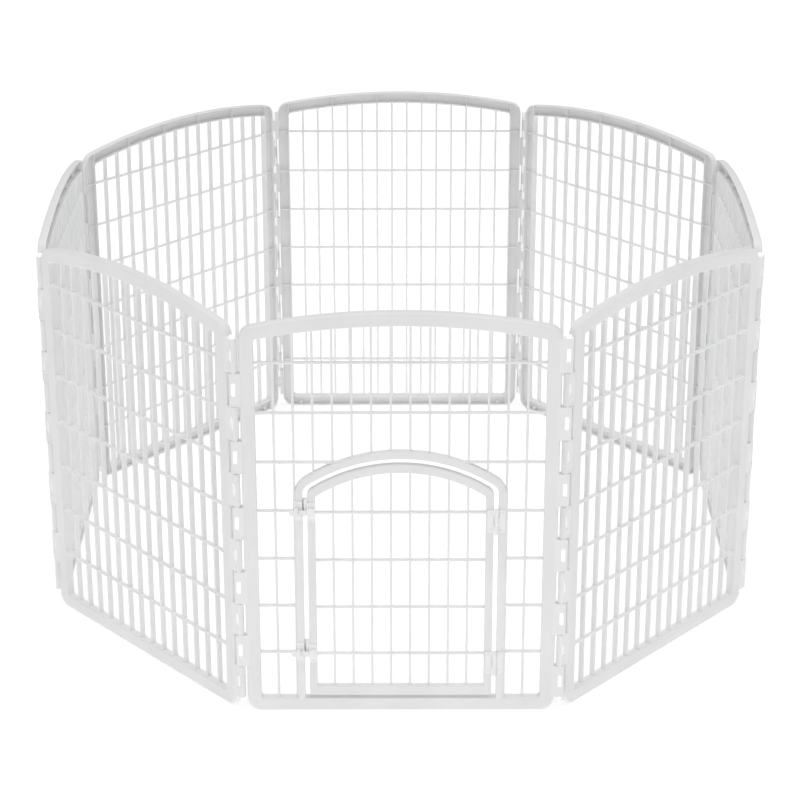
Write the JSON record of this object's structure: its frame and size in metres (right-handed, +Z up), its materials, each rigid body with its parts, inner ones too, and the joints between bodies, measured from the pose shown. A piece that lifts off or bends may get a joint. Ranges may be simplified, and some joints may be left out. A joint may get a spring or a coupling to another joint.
{
  "type": "pet playpen",
  "caption": "Folding ring of moulded lattice panels joined by lift-out corner rods, with an arched, latched door in the front panel.",
  "frame": {"origin": "centre of the ring on the floor, between the front and back panels and between the left and right panels", "axes": "+Z up, -Y towards the panel with the door, +X to the right when facing the door from outside"},
  "size_m": [1.5356, 1.6279, 0.864],
  "materials": {
    "panel_plastic": "satin moulded, fine grain",
    "rod_plastic": "smooth satin",
    "hardware_plastic": "smooth satin"
  },
  "bodies": {
    "front": {"front_panel": "panel_plastic", "hinge_leaf_frame_upper": "hardware_plastic", "hinge_leaf_frame_lower": "hardware_plastic", "hinge_pin_upper": "hardware_plastic", "hinge_pin_lower": "hardware_plastic", "latch_housing_upper": "hardware_plastic", "latch_housing_lower": "hardware_plastic", "rivet_upper_frame_low": "hardware_plastic", "rivet_upper_frame_high": "hardware_plastic", "rivet_lower_frame_low": "hardware_plastic", "rivet_lower_frame_high": "hardware_plastic"},
    "front_right": {"front_right_panel": "panel_plastic"},
    "right": {"right_panel": "panel_plastic"},
    "back_right": {"back_right_panel": "panel_plastic"},
    "back": {"back_panel": "panel_plastic"},
    "back_left": {"back_left_panel": "panel_plastic"},
    "left": {"left_panel": "panel_plastic"},
    "front_left": {"front_left_panel": "panel_plastic"},
    "door": {"door": "panel_plastic", "hinge_leaf_door_upper": "hardware_plastic", "hinge_leaf_door_lower": "hardware_plastic", "latch_keeper_upper": "hardware_plastic", "latch_keeper_lower": "hardware_plastic", "rivet_upper_door_low": "hardware_plastic", "rivet_upper_door_high": "hardware_plastic", "rivet_lower_door_low": "hardware_plastic", "rivet_lower_door_high": "hardware_plastic"},
    "bolt_upper": {"latch_bolt_upper": "hardware_plastic"},
    "bolt_lower": {"latch_bolt_lower": "hardware_plastic"},
    "rod_front_right_front": {"rod_front_right_front": "rod_plastic"},
    "rod_right_front": {"rod_right_front": "rod_plastic"},
    "rod_right_back": {"rod_right_back": "rod_plastic"},
    "rod_back_right": {"rod_back_right": "rod_plastic"},
    "rod_back_left": {"rod_back_left": "rod_plastic"},
    "rod_left_back": {"rod_left_back": "rod_plastic"},
    "rod_left_front": {"rod_left_front": "rod_plastic"},
    "rod_front_left": {"rod_front_left": "rod_plastic"}
  },
  "joints": [
    {"name": "corner_front_left", "type": "hinge", "parent": "front", "child": "front_left", "pos_m": [-0.3225, -0.7988, 0.42], "axis": [0, 0, -1], "range_deg": [-47.6, 42.4]},
    {"name": "corner_left_front", "type": "hinge", "parent": "front_left", "child": "left", "pos_m": [-0.7574, -0.3225, 0.42], "axis": [0, 0, -1], "range_deg": [-42.4, 47.6]},
    {"name": "corner_left_back", "type": "hinge", "parent": "left", "child": "back_left", "pos_m": [-0.7574, 0.3225, 0.42], "axis": [0, 0, -1], "range_deg": [-42.4, 47.6]},
    {"name": "corner_back_left", "type": "hinge", "parent": "back_left", "child": "back", "pos_m": [-0.3225, 0.7988, 0.42], "axis": [0, 0, -1], "range_deg": [-47.6, 42.4]},
    {"name": "corner_front_right", "type": "hinge", "parent": "front", "child": "front_right", "pos_m": [0.3225, -0.7988, 0.42], "axis": [0, 0, 1], "range_deg": [-47.6, 42.4]},
    {"name": "corner_right_front", "type": "hinge", "parent": "front_right", "child": "right", "pos_m": [0.7574, -0.3225, 0.42], "axis": [0, 0, 1], "range_deg": [-42.4, 47.6]},
    {"name": "corner_right_back", "type": "hinge", "parent": "right", "child": "back_right", "pos_m": [0.7574, 0.3225, 0.42], "axis": [0, 0, 1], "range_deg": [-42.4, 47.6]},
    {"name": "door_swing", "type": "hinge", "parent": "front", "child": "door", "pos_m": [0.18875, -0.8103, 0.264], "axis": [0, 0, 1], "range_deg": [0, 170]},
    {"name": "latch_upper_slide", "type": "slide", "parent": "front", "child": "bolt_upper", "axis": [1, 0, 0], "range_m": [0, 0.0095]},
    {"name": "latch_lower_slide", "type": "slide", "parent": "front", "child": "bolt_lower", "axis": [1, 0, 0], "range_m": [0, 0.0095]},
    {"name": "rod_front_right_front_lift", "type": "slide", "parent": "front", "child": "rod_front_right_front", "axis": [0, 0, 1], "range_m": [0, 0.79]},
    {"name": "rod_right_front_lift", "type": "slide", "parent": "front_right", "child": "rod_right_front", "axis": [0, 0, 1], "range_m": [0, 0.79]},
    {"name": "rod_right_back_lift", "type": "slide", "parent": "right", "child": "rod_right_back", "axis": [0, 0, 1], "range_m": [0, 0.79]},
    {"name": "rod_back_right_lift", "type": "slide", "parent": "back_right", "child": "rod_back_right", "axis": [0, 0, 1], "range_m": [0, 0.79]},
    {"name": "rod_back_left_lift", "type": "slide", "parent": "back", "child": "rod_back_left", "axis": [0, 0, 1], "range_m": [0, 0.79]},
    {"name": "rod_left_back_lift", "type": "slide", "parent": "back_left", "child": "rod_left_back", "axis": [0, 0, 1], "range_m": [0, 0.79]},
    {"name": "rod_left_front_lift", "type": "slide", "parent": "left", "child": "rod_left_front", "axis": [0, 0, 1], "range_m": [0, 0.79]},
    {"name": "rod_front_left_lift", "type": "slide", "parent": "front_left", "child": "rod_front_left", "axis": [0, 0, 1], "range_m": [0, 0.79]}
  ],
  "couplings": [
    {"joint": "corner_left_front", "follows": "corner_front_left", "ratio": -1},
    {"joint": "corner_right_back", "follows": "corner_front_left", "ratio": -1},
    {"joint": "corner_right_front", "follows": "corner_front_right", "ratio": -1},
    {"joint": "corner_left_back", "follows": "corner_front_right", "ratio": -1},
    {"joint": "corner_back_left", "follows": "corner_front_right", "ratio": 1}
  ]
}
